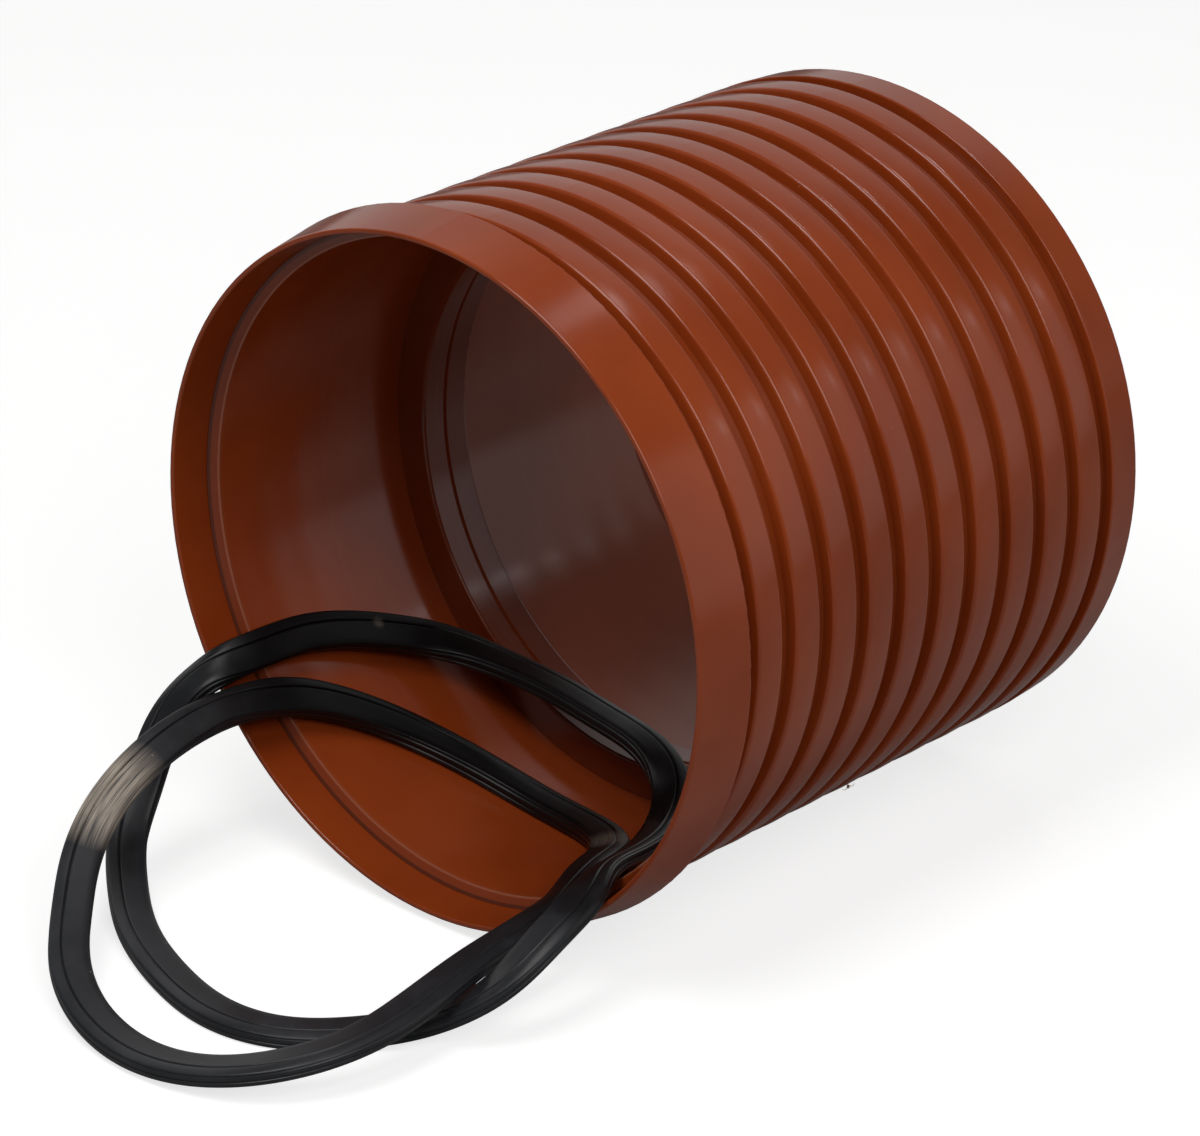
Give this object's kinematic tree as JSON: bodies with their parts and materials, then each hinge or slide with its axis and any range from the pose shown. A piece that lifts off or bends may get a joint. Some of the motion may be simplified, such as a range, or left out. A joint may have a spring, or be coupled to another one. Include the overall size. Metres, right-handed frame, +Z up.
{
  "type": "pipe coupling",
  "caption": "Ribbed plastic coupling for corrugated drain pipe, with a socket at each end, a stop between them and its rubber seal rings lying loose in one mouth.",
  "frame": {"origin": "on the coupling's axis, in the plane of the stop's face where a pipe pushed into the rear mouth stops", "axes": "+X along the axis out of the rear mouth, away from the mouth with the seal rings; +Z up as the coupling lies on its side; +Y to the left when looking along +X"},
  "size_m": [0.6483, 0.4394, 0.4396],
  "materials": {
    "terracotta_plastic": "smooth moulded polypropylene with a soft sheen",
    "black_rubber": "extruded rubber, smooth with a few scuffs"
  },
  "bodies": {
    "root": {"coupling_sleeve": "terracotta_plastic", "seal_ring_front": "black_rubber", "seal_ring_rear": "black_rubber"}
  },
  "joints": []
}
